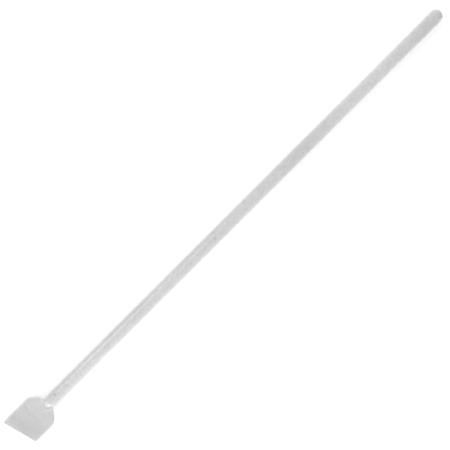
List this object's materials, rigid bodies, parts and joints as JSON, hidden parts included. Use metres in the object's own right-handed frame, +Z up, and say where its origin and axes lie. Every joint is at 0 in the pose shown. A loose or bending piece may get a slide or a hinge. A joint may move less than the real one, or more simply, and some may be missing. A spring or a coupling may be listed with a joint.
{
  "type": "cell scraper",
  "caption": "One-piece plastic cell scraper: a slim round handle with a rounded end, noses down onto a flat blade with convex shoulders and a skewed, bevelled scraping edge.",
  "frame": {"origin": "on the surface that the tool lies on, midway along its length, directly under the handle's axis", "axes": "+X along the handle from the blade to the free end, +Z up, +Y towards the blade's long side, which is the side that touches down"},
  "size_m": [0.22, 0.0136, 0.005],
  "materials": {
    "polyethylene": "satin"
  },
  "bodies": {
    "root": {"cell_scraper": "polyethylene"}
  },
  "joints": []
}
